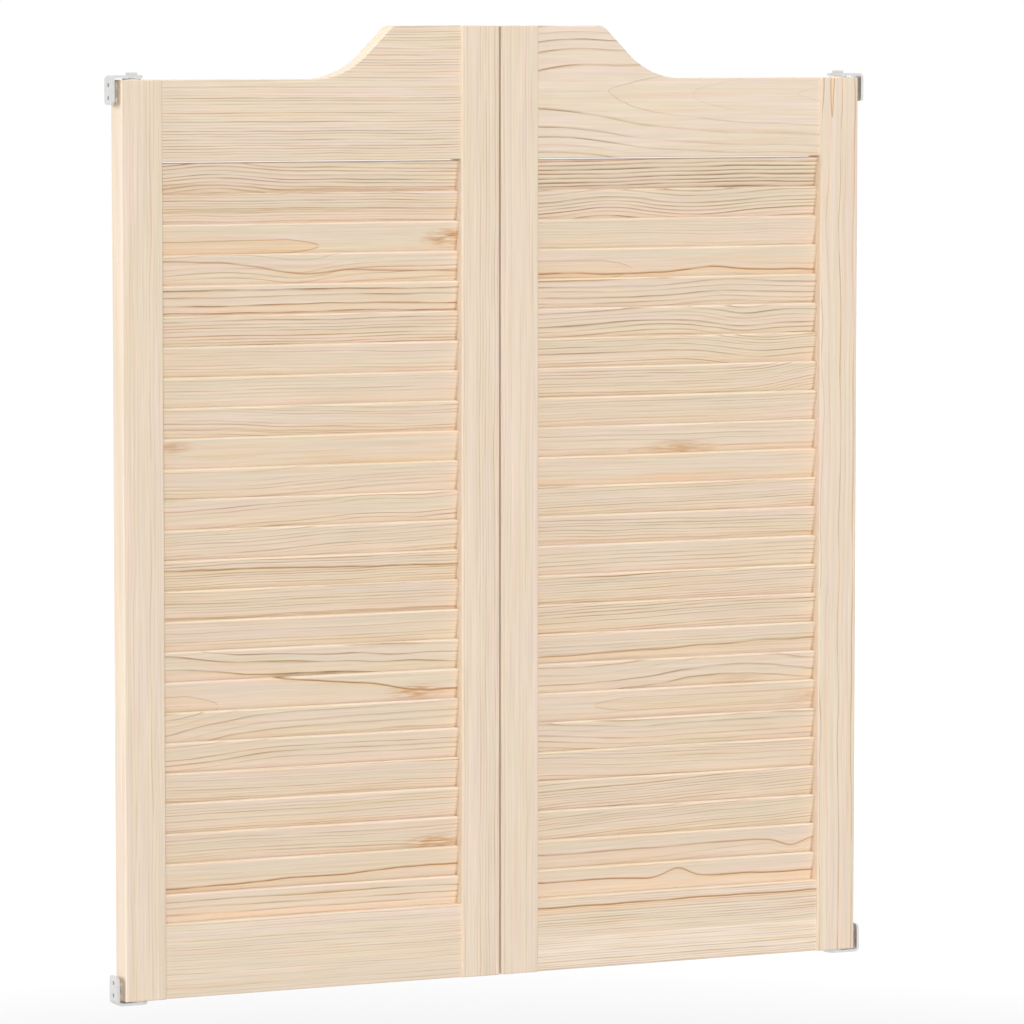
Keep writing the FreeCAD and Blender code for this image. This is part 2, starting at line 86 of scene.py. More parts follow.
class Graph:
    """Puts nodes into one tree and links them; each method gives back an output socket."""

    def __init__(self, tree):
        self.tree = tree

    def add(self, kind, **settings):
        node = self.tree.nodes.new(kind)
        for name, value in settings.items():
            setattr(node, name, value)
        return node

    def feed(self, socket, value):
        if isinstance(value, bpy.types.NodeSocket):
            self.tree.links.new(value, socket)
        else:
            socket.default_value = value

    def math(self, operation, first, second=0.0):
        node = self.add("ShaderNodeMath", operation=operation)
        for socket, value in zip(node.inputs, (first, second)):
            self.feed(socket, value)
        return node.outputs["Value"]

    def plus(self, first, second):
        return self.math("ADD", first, second)

    def minus(self, first, second):
        return self.math("SUBTRACT", first, second)

    def times(self, first, *others):
        for other in others:
            first = self.math("MULTIPLY", first, other)
        return first

    def over(self, first, second):
        return self.math("DIVIDE", first, second)

    def square(self, value):
        return self.times(value, value)

    def root(self, value):
        return self.math("SQRT", value)

    def size(self, value):
        """The number without its sign."""
        return self.math("ABSOLUTE", value)

    def hill(self, squared_distance):
        """1 where the distance is nought, and smoothly down to 0 on every side."""
        return self.math("EXPONENT", self.times(squared_distance, -1.0))

    def dot(self, vector, axis):
        node = self.add("ShaderNodeVectorMath", operation="DOT_PRODUCT")
        self.feed(node.inputs[0], vector)
        self.feed(node.inputs[1], axis)
        return node.outputs["Value"]

    def vector(self, x, y, z=0.0):
        node = self.add("ShaderNodeCombineXYZ")
        for socket, value in zip(node.inputs, (x, y, z)):
            self.feed(socket, value)
        return node.outputs["Vector"]

    def span(self, value, low, high, to_low=0.0, to_high=1.0, curve="LINEAR"):
        """The value carried from one range to another, and held at the ends of it."""
        node = self.add("ShaderNodeMapRange", interpolation_type=curve, clamp=True)
        for name, number in (
                ("Value", value), ("From Min", low), ("From Max", high),
                ("To Min", to_low), ("To Max", to_high)):
            self.feed(node.inputs[name], number)
        return node.outputs["Result"]

    def noise(self, vector, detail=2.0, roughness=0.5):
        node = self.add("ShaderNodeTexNoise", noise_dimensions="3D")
        self.feed(node.inputs["Vector"], vector)
        self.feed(node.inputs["Scale"], 1.0)
        self.feed(node.inputs["Detail"], detail)
        self.feed(node.inputs["Roughness"], roughness)
        return node.outputs["Fac"]

    def wave(self, vector, reach):
        """A slow, smooth wander to either side of nought."""
        return self.times(self.minus(self.noise(vector, detail=1.0), 0.5), 2.0, reach)

    def chance(self, number, draw):
        """A number from 0 to 1 that depends only on the number given and on which draw it is."""
        node = self.add("ShaderNodeTexWhiteNoise", noise_dimensions="2D")
        self.feed(node.inputs["Vector"], self.vector(number, draw))
        return node.outputs["Value"]

    def blend(self, factor, first, second, way="MIX"):
        node = self.add("ShaderNodeMix", data_type="RGBA", blend_type=way, clamp_factor=True)
        self.feed(node.inputs["Factor"], factor)
        self.feed(node.inputs[6], first)
        self.feed(node.inputs[7], second)
        return node.outputs[2]

    def tinted(self, colour, tint):
        return self.blend(1.0, colour, tint, "MULTIPLY")

    def shaded(self, colour, shade):
        return self.tinted(colour, self.vector(shade, shade, shade))

    def relief(self, height, strength, depth):
        """The way the surface faces, with a slight relief on it, so many metres deep."""
        node = self.add("ShaderNodeBump")
        node.inputs["Strength"].default_value = strength
        node.inputs["Distance"].default_value = depth
        self.feed(node.inputs["Height"], height)
        return node.outputs["Normal"]

    def object_place(self):
        return self.add("ShaderNodeTexCoord").outputs["Object"]


def new_material(name):
    """An empty material with a surface shader, and the graph that feeds it."""
    material = bpy.data.materials.new(name)
    material.use_nodes = True
    graph = Graph(material.node_tree)
    shader = material.node_tree.nodes["Principled BSDF"]
    return material, graph, shader


# ---------------------------------------------------------------- pine

CREAM = (0.803, 0.685, 0.532, 1.0)
ROSE = (0.826, 0.680, 0.564, 1.0)
HONEY = (0.840, 0.605, 0.380, 1.0)
GREY_LATEWOOD = (0.330, 0.225, 0.140, 1.0)
OCHRE_LATEWOOD = (0.450, 0.230, 0.080, 1.0)
KNOT_BROWN = (0.560, 0.290, 0.110, 1.0)
# painted shade: the colour of the shadow in the slats' grooves
SEAT_SHADE_COLOUR = (0.400, 0.200, 0.075, 1.0)
SAPWOOD = (0.900, 0.770, 0.640, 1.0)
LOUVRE_TINT = (1.030, 1.025, 1.010, 1.0)    # the slats' colour, a little lighter and warmer than the frame's pine

# How often a pattern changes for each millimetre: along the grain, and across it
TINT_ZONES = (0.0045, 0.085)
HONEY_ZONES = (0.0065, 0.11)
UNEVEN_RINGS = (0.014, 0.09)
TORN_FIBRES = (0.05, 0.55)
STRIPES = (0.007, 0.36)
FIBRES = (0.03, 1.6)

# And for what changes along the grain only
HEART_SWAY = 0.0060
HEART_SWAY_BACK = 0.0045
LINE_FADE = 0.015
STREAK_SWAY = 0.017
STREAK_FADE = 0.02

# Marks on a board's face, in millimetres
LINE_EDGE = 0.4                 # the sharp side of a dark line
LINE_GLOW = 4.5                 # the warm zone on its soft side
FULL_TO_DEPTH = 0.4             # dark lines keep their strength to this depth below the face,
FAINT_FROM_DEPTH = 1.6          # and are faint from this one on, as on the board's edges
FADING_START = -150.0           # along a board, where lines that fade to the right begin to,
FADING_END = -20.0              # and where they have
STREAK_WANDER = 2.0
STREAK_WIDTH = 2.8
STREAK_GLOW = 9.0
TONGUE_POINT = 40.0             # length of a pointed figure's point
TONGUE_GLOW = 7.0

KNOT_SLENDERNESS = 0.28         # a knot's height, as a share of its length
KNOT_PUSH = 1.5                 # how many rings a knot pushes aside
FLATTEST_CUT = 0.004            # rings to a millimetre, where the face only grazes them

# Painted shade: the dark, ragged shadow where a slat's ends go into their grooves, darker towards the
# slat's bottom, in millimetres
SEAT_START = 2.4                # how far before the groove's mouth it begins
SEAT_RAGGED = 2.2               # and how much earlier than that it may
SEAT_FULL = 0.9                 # how far past the mouth it's darkest
SEAT_BOTTOM = -14.0             # across the slat, where it's darker
SEAT_TOP = 16.0                 # and where it's lighter

# How a board is cut from the log. Lengths are in millimetres, from the middle of the board.
CUT_DEFAULTS = {
    "seed": 0.0,
    "heart_across": -120.0,     # where the log's heart lies, up or to the right of the board's middle
    "heart_depth": 40.0,        # and behind its face
    "climb": 0.0,               # how far the rings rise across the board, for each millimetre along it
    "dive": 0.0,                # and how far they go back
    "swell_at": 0.0,            # one stretch along the board where they swell up
    "swell_rise": 0.0,
    "swell_reach": 60.0,
    "dip_at": 0.0,              # and another one
    "dip_rise": 0.0,
    "dip_reach": 60.0,
    "ring": 4.0,                # width of a year's ring
    "waves": 3.0,               # how far the rings wander
    "ripple": 0.3,              # how uneven they are, as a share of a ring
    "line": 1.1,                # width of a dark line
    "contrast": 0.6,            # strength of the dark lines
    "rarity": 1.5,              # 0: all lines alike; more: few of them dark
    "fading": 0.0,              # how much of their strength they lose to the right
    "ochre": 0.3,               # 0: grey lines, 1: ochre lines
    "warmth": 0.3,              # honey-coloured zones between the lines
    "streak": 0.0,              # strength of one resin line along the board
    "streak_across": 0.0,       # its place
    "streak_climb": 0.0,
    "tongue": 0.0,              # strength of one pointed figure
    "tongue_tip": 0.0,          # where it ends, along the board
    "tongue_across": 0.0,
    "tongue_width": 8.0,        # half of its width; a figure that points to the left has it below nought
    "knot": 0.0,                # strength of a knot's stain
    "knot_along": 0.0,
    "knot_across": 0.0,
    "knot_length": 30.0,
    "sap": 0.0,                 # strength of the paler sapwood below a level
    "sap_across": 0.0,
}
Cut = namedtuple("Cut", CUT_DEFAULTS, defaults=CUT_DEFAULTS.values())

PLACE_FIELDS = ("along", "across", "through", "half_thickness")
PINE_RESULTS = {"colour": "NodeSocketColor", "roughness": "NodeSocketFloat", "normal": "NodeSocketVector"}


class Figure:
    """The figure of a board, from a place in it and the board's cut.

    A plain number that a seed is multiplied by or added to only keeps two patterns from being alike.
    """

    def __init__(self, graph, given):
        self.graph = graph
        self.given = given
        self.along, self.across, self.through, self.half_thickness = (given[name] for name in PLACE_FIELDS)
        self.seed = given["seed"]
        self.find_heart()
        self.find_knot()
        self.count_rings()
        self.streak_sway = graph.wave(
            graph.vector(graph.times(self.along, STREAK_SWAY), graph.plus(self.seed, 21.0)), STREAK_WANDER)

    def patches(self, often, shift):
        """A place for noise whose patches are drawn out along the grain."""
        graph = self.graph
        lengthwise, crosswise = often
        return graph.vector(
            graph.times(self.along, lengthwise), graph.times(self.across, crosswise),
            graph.plus(graph.times(self.through, crosswise), shift))

    def bend(self, name):
        """How far the swell or the dip lifts the rings."""
        graph, given = self.graph, self.given
        distance = graph.over(graph.minus(self.along, given[name + "_at"]), given[name + "_reach"])
        return graph.times(graph.hill(graph.square(distance)), given[name + "_rise"])

    def find_heart(self):
        """The way to the log's heart, which wanders along the board."""
        graph, given = self.graph, self.given
        slow = graph.vector(graph.times(self.along, HEART_SWAY), graph.times(self.seed, 7.31))
        self.sway = graph.wave(slow, given["waves"])
        slower = graph.vector(graph.times(self.along, HEART_SWAY_BACK), graph.times(self.seed, 3.17), 5.0)
        sway_back = graph.wave(slower, given["waves"])
        bends = graph.plus(self.bend("swell"), self.bend("dip"))
        self.unbent = graph.minus(graph.plus(self.across, self.sway), bends)
        offset = graph.minus(self.unbent, given["heart_across"])
        self.offset = graph.minus(offset, graph.times(self.along, given["climb"]))
        depth = graph.minus(graph.plus(self.through, sway_back), given["heart_depth"])
        self.depth = graph.minus(depth, graph.times(self.along, given["dive"]))
        self.radius = graph.root(graph.plus(graph.square(self.offset), graph.square(self.depth)))

    def find_knot(self):
        """How near the knot is: 1 at its middle, 0 well away from it."""
        graph, given = self.graph, self.given
        height = graph.times(given["knot_length"], KNOT_SLENDERNESS)
        lengthwise = graph.over(graph.minus(self.along, given["knot_along"]), given["knot_length"])
        crosswise = graph.over(graph.minus(self.across, given["knot_across"]), height)
        self.knot_nearness = graph.hill(graph.plus(graph.square(lengthwise), graph.square(crosswise)))

    def count_rings(self):
        """The number of rings from the heart; they are of uneven width, and the knot pushes them apart."""
        graph, given = self.graph, self.given
        reach = graph.times(given["ring"], given["ripple"])
        ripple = graph.wave(self.patches(UNEVEN_RINGS, self.seed), reach)
        count = graph.over(graph.plus(self.radius, ripple), given["ring"])
        count = graph.plus(count, graph.times(self.knot_nearness, given["knot"], KNOT_PUSH))
        uneven = graph.vector(graph.times(count, 0.45), graph.times(self.seed, 1.7), 9.0)
        self.count = graph.plus(count, graph.times(graph.noise(uneven, detail=1.0), 1.1))
        self.ring_number = graph.math("FLOOR", self.count)

    def to_ring_end(self):
        """How far it is to where the ring ends, in millimetres over the face."""
        graph, given = self.graph, self.given
        climbing = graph.plus(
            graph.times(self.offset, given["climb"]), graph.times(self.depth, given["dive"]))
        slope = graph.root(graph.plus(graph.square(self.offset), graph.square(climbing)))
        slope = graph.over(slope, graph.times(self.radius, given["ring"]))
        slope = graph.math("MAXIMUM", slope, FLATTEST_CUT)
        return graph.over(graph.minus(1.0, graph.math("FRACT", self.count)), slope)

    def line_strength(self):
        """How dark this ring's line is here: by chance, fading now and then, and faint on the edges."""
        graph, given = self.graph, self.given
        draw = graph.math("POWER", graph.chance(self.ring_number, self.seed), given["rarity"])
        strength = graph.times(graph.plus(graph.times(draw, 0.9), 0.1), given["contrast"])
        fade = graph.noise(graph.vector(
            graph.times(self.along, LINE_FADE), graph.times(self.count, 0.9), graph.plus(self.seed, 3.0)))
        strength = graph.times(strength, graph.span(fade, 0.32, 0.62, to_low=0.30, to_high=1.15))
        kept = graph.minus(1.0, given["fading"])
        strength = graph.times(
            strength, graph.span(self.along, FADING_START, FADING_END, to_low=1.0, to_high=kept))
        outward = graph.minus(graph.size(self.through), self.half_thickness)
        return graph.times(
            strength, graph.span(outward, -FAINT_FROM_DEPTH, -FULL_TO_DEPTH, to_low=0.10, to_high=1.0))

    def dark_lines(self):
        """The dark line that ends each ring, sharp on one side, and the glow on its soft side."""
        graph, given = self.graph, self.given
        strength = self.line_strength()
        to_end = self.to_ring_end()
        sharp_side = graph.span(to_end, 0.0, LINE_EDGE)
        soft_side = graph.span(to_end, LINE_EDGE, graph.plus(given["line"], LINE_EDGE), 1.0, 0.0)
        line = graph.times(sharp_side, graph.math("POWER", soft_side, 1.3), strength)
        warm_side = graph.square(graph.span(to_end, LINE_EDGE, LINE_GLOW, 1.0, 0.0))
        return line, graph.times(sharp_side, warm_side, strength, 0.5)

    def resin_streak(self):
        """One resin line, sharp on its lower side, and the glow below it."""
        graph, given = self.graph, self.given
        above = graph.minus(graph.plus(self.unbent, self.streak_sway), given["streak_across"])
        above = graph.minus(above, graph.times(self.along, given["streak_climb"]))
        line = graph.times(
            graph.span(above, -0.7, 0.2, curve="SMOOTHSTEP"),
            graph.span(above, 0.2, STREAK_WIDTH, 1.0, 0.0, "SMOOTHSTEP"), given["streak"])
        fade = graph.noise(
            graph.vector(graph.times(self.along, STREAK_FADE), graph.plus(self.seed, 33.0)), detail=1.0)
        line = graph.times(line, graph.span(fade, 0.30, 0.50, to_low=0.50, to_high=1.0))
        glow = graph.times(
            graph.span(above, -STREAK_GLOW, 0.0, curve="SMOOTHSTEP"),
            graph.span(above, 0.0, 1.5, 1.0, 0.0), given["streak"], 0.45)
        return line, glow

    def tongue(self):
        """The thin outline of one pointed figure, and the glow inside it."""
        graph, given = self.graph, self.given
        way = graph.math("SIGN", given["tongue_width"])
        inward = graph.times(graph.minus(given["tongue_tip"], self.along), way)
        half_width = graph.times(
            graph.root(graph.span(inward, 0.0, TONGUE_POINT)), graph.size(given["tongue_width"]))
        wander = graph.times(graph.minus(self.sway, self.streak_sway), 0.4)
        middle = graph.plus(given["tongue_across"], wander)
        outside = graph.minus(graph.size(graph.minus(self.across, middle)), half_width)
        line = graph.times(
            graph.span(outside, -1.3, 0.0), graph.span(outside, 0.0, 0.5, 1.0, 0.0),
            graph.span(inward, 0.0, 2.0), given["tongue"], 0.8)
        glow = graph.times(
            graph.span(outside, -TONGUE_GLOW, 0.0, to_low=0.5), graph.span(outside, -0.3, 0.6, 1.0, 0.0),
            graph.span(inward, 0.0, 6.0), given["tongue"], 0.75)
        return line, glow

    def ground(self):
        """Long zones of cream and rose, and the paler sapwood."""
        graph, given = self.graph, self.given
        rosy = graph.span(graph.noise(self.patches(TINT_ZONES, self.seed)), 0.38, 0.62)
        sap_edge = graph.plus(given["sap_across"], graph.times(self.sway, 0.5))
        below = graph.span(graph.minus(sap_edge, self.across), -1.0, 2.0)
        return graph.blend(graph.times(below, given["sap"]), graph.blend(rosy, CREAM, ROSE), SAPWOOD)

    def honey(self):
        """How honey-coloured the wood is between the lines."""
        graph = self.graph
        zones = graph.noise(self.patches(HONEY_ZONES, graph.times(self.seed, -1.0)))
        return graph.times(graph.span(zones, 0.48, 0.72), self.given["warmth"])

    def latewood(self):
        """The colour of this ring's line."""
        graph = self.graph
        draw = graph.chance(self.ring_number, graph.plus(self.seed, 1.0))
        ochre = graph.span(graph.plus(draw, self.given["ochre"]), 0.5, 1.3)
        return graph.blend(ochre, GREY_LATEWOOD, OCHRE_LATEWOOD)

    def knot_stain(self):
        """How strong the knot's stain is, torn into fibres."""
        graph = self.graph
        lengthwise, crosswise = TORN_FIBRES
        torn_place = graph.vector(
            graph.times(self.along, lengthwise), graph.times(self.across, crosswise), self.seed)
        torn = graph.span(graph.noise(torn_place), 0.35, 0.62)
        return graph.times(graph.span(self.knot_nearness, 0.25, 0.9), torn, self.given["knot"])

    def surface(self):
        """(colour, roughness, normal) of the board."""
        graph = self.graph
        line, line_glow = self.dark_lines()
        streak, streak_glow = self.resin_streak()
        tongue, tongue_glow = self.tongue()
        colour = graph.blend(graph.plus(self.honey(), line_glow), self.ground(), HONEY)
        colour = graph.blend(graph.plus(streak_glow, tongue_glow), colour, HONEY)
        colour = graph.blend(line, colour, self.latewood())
        colour = graph.blend(graph.math("MAXIMUM", streak, tongue), colour, OCHRE_LATEWOOD)
        colour = graph.blend(self.knot_stain(), colour, KNOT_BROWN)

        # faint stripes, and a fine grain within them
        stripes = graph.noise(self.patches(STRIPES, self.seed), detail=3.0, roughness=0.6)
        fibres = graph.noise(self.patches(FIBRES, 0.0), detail=3.0, roughness=0.6)
        shade = graph.times(
            graph.span(fibres, 0.3, 0.7, to_low=0.965, to_high=1.03),
            graph.span(stripes, 0.3, 0.7, to_low=0.93, to_high=1.06))
        roughness = graph.span(line, 0.0, 0.7, to_low=0.62, to_high=0.50)
        height = graph.plus(fibres, graph.times(line, 0.6))
        return graph.shaded(colour, shade), roughness, graph.relief(height, strength=0.35, depth=0.0001)


def pine_group():
    """Growth rings, lines and tints of a board, from a place in it and the board's cut."""
    tree = bpy.data.node_groups.new("pine", "ShaderNodeTree")
    for name in PLACE_FIELDS + Cut._fields:
        tree.interface.new_socket(name, in_out="INPUT", socket_type="NodeSocketFloat")
    for name, kind in PINE_RESULTS.items():
        tree.interface.new_socket(name, in_out="OUTPUT", socket_type=kind)
    graph = Graph(tree)
    given = graph.add("NodeGroupInput").outputs
    result = graph.add("NodeGroupOutput").inputs
    for name, socket in zip(PINE_RESULTS, Figure(graph, given).surface()):
        graph.feed(result[name], socket)
    return tree


def cut_pine(graph, shader, place, cut):
    """Feeds a shader with the figure at a place, in millimetres, of a board so cut; gives its colour."""
    figure = graph.add("ShaderNodeGroup")
    figure.node_tree = pine
    for name, value in zip(PLACE_FIELDS + Cut._fields, tuple(place) + tuple(cut)):
        graph.feed(figure.inputs[name], value)
    graph.feed(shader.inputs["Base Color"], figure.outputs["colour"])
    graph.feed(shader.inputs["Roughness"], figure.outputs["roughness"])
    graph.feed(shader.inputs["Normal"], figure.outputs["normal"])
    shader.inputs["Specular IOR Level"].default_value = 0.30
    return figure.outputs["colour"]


def board(node, along_axis, cut):
    """Pine of one straight board, with its coordinates counted from its middle."""
    material, graph, shader = new_material(node + "_pine")
    low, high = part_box(node)
    middle = (low + high) / 2
    place = graph.object_place()
    from_middle = {}
    for axis, unit in AXES.items():
        offset = middle.dot(Vector(unit))
        from_middle[axis] = graph.times(graph.minus(graph.dot(place, unit), offset), MILLIMETRES)
    across_axis = "X" if along_axis == "Z" else "Z"
    half_thickness = (high.y - low.y) / 2 * MILLIMETRES
    cut_pine(graph, shader, (
        from_middle[along_axis], from_middle[across_axis], from_middle["Y"], half_thickness), cut)
    return material


def louvre_spacing(side):
    """(rise of one slat, pitch) of one leaf's louvres, from their boxes."""
    single_low, single_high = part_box(side + "_louvre_slat_25")
    first_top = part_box(side + "_louvre_slats_01_02")[1].z
    return single_high.z - single_low.z, (first_top - single_high.z) / (SLAT_COUNT - 1)


def slat_place(graph, node, side):
    """(along, across, through) a slat, in millimetres from its middle, and 1 on the lower of the two."""
    rise, pitch = louvre_spacing(side)
    outward = (0.0, math.cos(LOUVRE_TILT), math.sin(LOUVRE_TILT))
    upward = (0.0, -math.sin(LOUVRE_TILT), math.cos(LOUVRE_TILT))
    low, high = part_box(node)
    upper_middle = high.z - rise / 2
    place = graph.object_place()
    below_upper = graph.minus(upper_middle * outward[2], graph.dot(place, outward))
    is_lower = graph.math("ROUND", graph.over(below_upper, pitch * outward[2]))
    height = graph.minus(upper_middle, graph.times(is_lower, pitch))
    along = graph.minus(graph.dot(place, AXES["X"]), (low.x + high.x) / 2)
    across = graph.minus(graph.dot(place, upward), graph.times(height, upward[2]))
    through = graph.minus(graph.dot(place, outward), graph.times(height, outward[2]))
    return tuple(graph.times(length, MILLIMETRES) for length in (along, across, through)), is_lower


def pair_cut(graph, is_lower, upper_cut, lower_cut):
    """The cut of whichever of two neighbouring slats it is."""
    return Cut(*(
        upper if upper == lower else graph.span(is_lower, 0.0, 1.0, to_low=upper, to_high=lower)
        for upper, lower in zip(upper_cut, lower_cut)))


def seat_line(graph, side, along, across, seed):
    """How dark the painted shade is: a ragged shadow where a slat's ends go into their grooves, darker
    towards the bottom.
    """
    rail_low, rail_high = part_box(side + "_top_rail")
    mouth = (rail_high.x - rail_low.x) / 2 * MILLIMETRES
    ragged = graph.noise(graph.vector(graph.times(along, 0.3), graph.times(across, 0.22), seed))
    from_middle = graph.plus(graph.size(along), graph.times(ragged, SEAT_RAGGED))
    return graph.times(
        graph.span(from_middle, mouth - SEAT_START, mouth + SEAT_FULL),
        graph.span(across, SEAT_BOTTOM, SEAT_TOP, to_low=0.70, to_high=0.35))


def louvre_pine(node, side, upper_cut, lower_cut):
    """Pine of two neighbouring slats that share a node, each with its own cut, with painted shade where
    their ends go into the grooves.
    """
    material, graph, shader = new_material(node + "_pine")
    (along, across, through), is_lower = slat_place(graph, node, side)
    cut = pair_cut(graph, is_lower, upper_cut, lower_cut)
    half_thickness = SLAT_THICKNESS / 2 * MILLIMETRES
    colour = cut_pine(graph, shader, (along, across, through, half_thickness), cut)
    # painted shade where the slat's ends go into their grooves, laid over the tinted pine
    groove_shade = seat_line(graph, side, along, across, cut.seed)
    colour = graph.blend(groove_shade, graph.tinted(colour, LOUVRE_TINT), SEAT_SHADE_COLOUR)
    graph.feed(shader.inputs["Base Color"], colour)
    return material


# The ways in which the slats were sawn
SAWN = {
    "fine": Cut(ring=3.3, line=1.1, contrast=0.85, rarity=0.8, warmth=0.30),
    "faint": Cut(ring=3.5, waves=4.0, line=1.1, contrast=0.62, rarity=0.9, warmth=0.30),
    "even": Cut(ring=4.8, waves=2.0, line=1.7, contrast=1.00, rarity=0.4, ochre=0.1, warmth=0.15),
    "bold": Cut(ring=8.6, waves=2.0, line=2.3, contrast=1.00, rarity=0.3, ochre=0.6, warmth=0.40),
    "wavy": Cut(ring=4.8, waves=7.0, line=1.3, contrast=0.85, rarity=0.9),
    "clear": Cut(ring=6.0, waves=5.0, line=1.1, contrast=0.32, rarity=1.2, warmth=0.35),
}

# Each leaf's slats from the top down: how it was sawn, and what it has of its own
LOUVRES = {
    "left": (
        ("even", dict(
            ring=4.2, swell_at=-110.0, swell_rise=7.0, contrast=1.1, streak=0.4, streak_across=-10.0)),
        ("fine", dict(contrast=1.0, streak=0.4, streak_across=2.0)),
        ("clear", dict(
            tongue=0.9, tongue_tip=12.0, tongue_across=-4.0, tongue_width=8.0,
            knot=1.0, knot_along=176.0, knot_across=3.0, knot_length=44.0)),
        ("wavy", dict(
            ring=6.5, waves=3.0, climb=0.02, dip_at=-8.0, dip_rise=-8.0, dip_reach=45.0,
            ochre=0.6, warmth=0.5, streak=0.7, streak_across=7.0, streak_climb=-0.05)),
        ("bold", dict(ring=7.6, contrast=1.2, rarity=0.15)),
        ("fine", dict(ring=3.8, waves=2.0, line=1.3, contrast=1.0, rarity=0.5)),
        ("faint", {}),
        ("faint", {}),
        ("faint", dict(
            swell_at=-150.0, swell_rise=7.0, swell_reach=110.0, contrast=0.8,
            streak=0.35, streak_across=-9.0)),
        ("clear", dict(warmth=0.6, knot=0.6, knot_along=-166.0, knot_across=13.0, knot_length=26.0)),
        ("wavy", dict(contrast=0.65, climb=0.02)),
        ("wavy", dict(climb=0.045, ochre=0.6, contrast=1.0)),
        ("fine", dict(climb=0.035, waves=5.0)),
        ("fine", dict(contrast=1.0, streak=0.9, streak_across=8.5, streak_climb=-0.014)),
        ("fine", dict(contrast=0.70, streak=0.5, streak_across=-10.0)),
        ("fine", dict(contrast=0.65)),
        ("bold", dict(
            ring=11.5, climb=-0.035, swell_at=-178.0, swell_rise=6.0, swell_reach=70.0,
            rarity=0.1, ochre=0.15)),
        ("clear", dict(
            contrast=0.2, streak=1.0, streak_across=17.8, streak_climb=-0.10,
            dip_at=128.0, dip_rise=-5.0, dip_reach=42.0,
            knot=0.8, knot_along=128.0, knot_across=-2.0, knot_length=36.0,
            tongue=0.55, tongue_tip=-109.0, tongue_across=-8.0, tongue_width=14.0)),
        ("bold", dict(
            contrast=0.70, swell_at=-185.0, swell_rise=-20.0, swell_reach=80.0, waves=4.0, ochre=0.3)),
        ("wavy", dict(ring=5.5, waves=3.0, swell_at=-178.0, swell_rise=-12.0, swell_reach=90.0)),
        ("fine", dict(contrast=0.80)),
        ("faint", dict(contrast=0.8, warmth=0.5)),
        ("faint", dict(contrast=0.8, knot=0.9, knot_along=150.0, knot_across=-6.0, knot_length=36.0)),
        ("clear", dict(streak=1.0, streak_across=-2.8, streak_climb=0.027)),
        ("bold", dict(ring=7.5, waves=4.0, contrast=0.85, ochre=0.5)),
    ),
    "right": (
        ("even", dict(ring=4.7, line=2.6, climb=0.01, contrast=1.3, rarity=0.15, ochre=0.25)),
        ("even", dict(
            ring=4.2, climb=0.02, swell_at=-85.0, swell_rise=7.0,
            dip_at=30.0, dip_rise=-5.0, dip_reach=70.0, contrast=1.2, rarity=0.6, ochre=0.0)),
        ("faint", dict(contrast=0.45)),
        ("clear", dict(
            streak=1.0, streak_across=-7.0, swell_at=50.0, swell_rise=4.0, swell_reach=40.0, warmth=0.5,
            tongue=0.5, tongue_tip=-55.0, tongue_across=-3.0, tongue_width=12.0)),
        ("bold", dict(line=1.8, ring=6.0, contrast=0.85, ochre=0.1, swell_at=60.0, swell_rise=5.0)),
        ("even", dict(
            ring=5.2, swell_at=-25.0, swell_rise=7.0, swell_reach=110.0,
            dip_at=81.0, dip_rise=-6.0, dip_reach=40.0)),
        ("fine", dict(
            contrast=1.0, swell_at=-20.0, swell_rise=5.0, swell_reach=110.0,
            dip_at=113.0, dip_rise=-6.0, dip_reach=50.0)),
        ("fine", dict(swell_at=190.0, swell_rise=12.0)),
        ("fine", dict(contrast=0.65)),
        ("wavy", dict(
            contrast=0.60, knot=0.6, knot_along=8.0, knot_across=-7.0, knot_length=44.0,
            tongue=0.35, tongue_tip=-60.0, tongue_across=-8.0, tongue_width=-5.0)),
        ("wavy", dict(contrast=0.45, warmth=0.6)),
        ("fine", dict(contrast=0.70, climb=0.02)),
        ("wavy", dict(ring=3.8, waves=4.0, streak=0.35, streak_across=-9.0)),
        ("wavy", dict(ring=4.4, waves=4.0, contrast=0.65, ochre=0.0)),
        ("fine", dict(climb=0.02, contrast=1.0)),
        ("fine", dict(climb=0.02, contrast=1.0)),
        ("faint", dict(streak=0.8, streak_across=-1.0, streak_climb=0.025)),
        ("bold", dict(
            ring=10.0, contrast=0.85, swell_at=70.0, swell_rise=16.0, swell_reach=100.0, ochre=0.2,
            knot=0.4, knot_along=80.0, knot_across=-12.0, knot_length=38.0)),
        ("clear", dict(
            tongue=0.5, tongue_tip=-103.0, tongue_across=5.0, tongue_width=-8.0,
            knot=0.4, knot_along=165.0, knot_across=3.0)),
        ("bold", dict(
            ring=6.5, contrast=0.60, swell_at=-178.0, swell_rise=10.0, swell_reach=80.0, ochre=0.1)),
        ("faint", dict(swell_at=-178.0, swell_rise=6.0, swell_reach=80.0)),
        ("fine", dict(climb=0.045)),
        ("fine", dict(climb=0.045, contrast=0.75)),
        ("clear", dict(
            climb=0.06, contrast=0.40, streak=0.7, streak_across=6.0, streak_climb=0.01,
            dip_at=151.0, dip_rise=-9.0, dip_reach=20.0)),
        ("clear", dict(
            streak=1.0, streak_across=4.0, streak_climb=-0.022,
            swell_at=2.0, swell_rise=11.0, swell_reach=20.0)),
    ),
}


